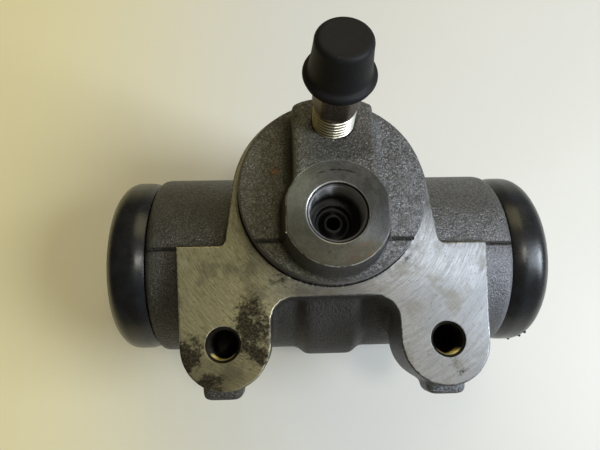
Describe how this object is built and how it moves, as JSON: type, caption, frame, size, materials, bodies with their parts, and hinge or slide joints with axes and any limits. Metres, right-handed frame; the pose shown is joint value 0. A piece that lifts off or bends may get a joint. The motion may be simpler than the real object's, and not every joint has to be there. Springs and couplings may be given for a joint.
{
  "type": "wheel cylinder",
  "caption": "Double-ended hydraulic drum-brake wheel cylinder with a cast iron barrel, machined mounting flange with lugs, round spigot, inlet port, capped bleed screw and rubber dust boots.",
  "frame": {"origin": "centre of the spigot, on the plane of the machined flange face", "axes": "+Z out of the flange along the spigot, +X along the barrel, +Y from the mounting lugs to the bleed screw"},
  "size_m": [0.1174, 0.0755, 0.0935],
  "materials": {
    "casting": "as cast, with a machined flange",
    "piston": "satin, turned",
    "seal": "matte",
    "spring_steel": "satin",
    "boot": "satin",
    "plated_steel": "yellow zinc plated",
    "cap": "matte"
  },
  "bodies": {
    "housing": {"cylinder_body": "casting", "return_spring": "spring_steel", "dust_boot_left": "boot", "dust_boot_right": "boot"},
    "left_piston": {"piston_left": "piston", "cup_seal_left": "seal", "cup_expander_left": "spring_steel"},
    "right_piston": {"piston_right": "piston", "cup_seal_right": "seal", "cup_expander_right": "spring_steel"},
    "bleed_screw": {"bleed_screw": "plated_steel"},
    "bleed_cap": {"bleed_cap": "cap"}
  },
  "joints": [
    {"name": "left_piston_slide", "type": "slide", "parent": "housing", "child": "left_piston", "axis": [-1, 0, 0], "range_m": [-0.003, 0.008], "deforming": ["dust_boot_left", "return_spring"]},
    {"name": "right_piston_slide", "type": "slide", "parent": "housing", "child": "right_piston", "axis": [1, 0, 0], "range_m": [-0.003, 0.008], "deforming": ["dust_boot_right", "return_spring"]},
    {"name": "bleed_screw_turn", "type": "hinge", "parent": "housing", "child": "bleed_screw", "pos_m": [0, 0.0141, 0.013], "axis": [0, 0.1908, 0.9816], "range_deg": [0, 270]},
    {"name": "bleed_cap_pull", "type": "slide", "parent": "bleed_screw", "child": "bleed_cap", "axis": [0, 0.1908, 0.9816], "range_m": [0, 0.014]}
  ]
}
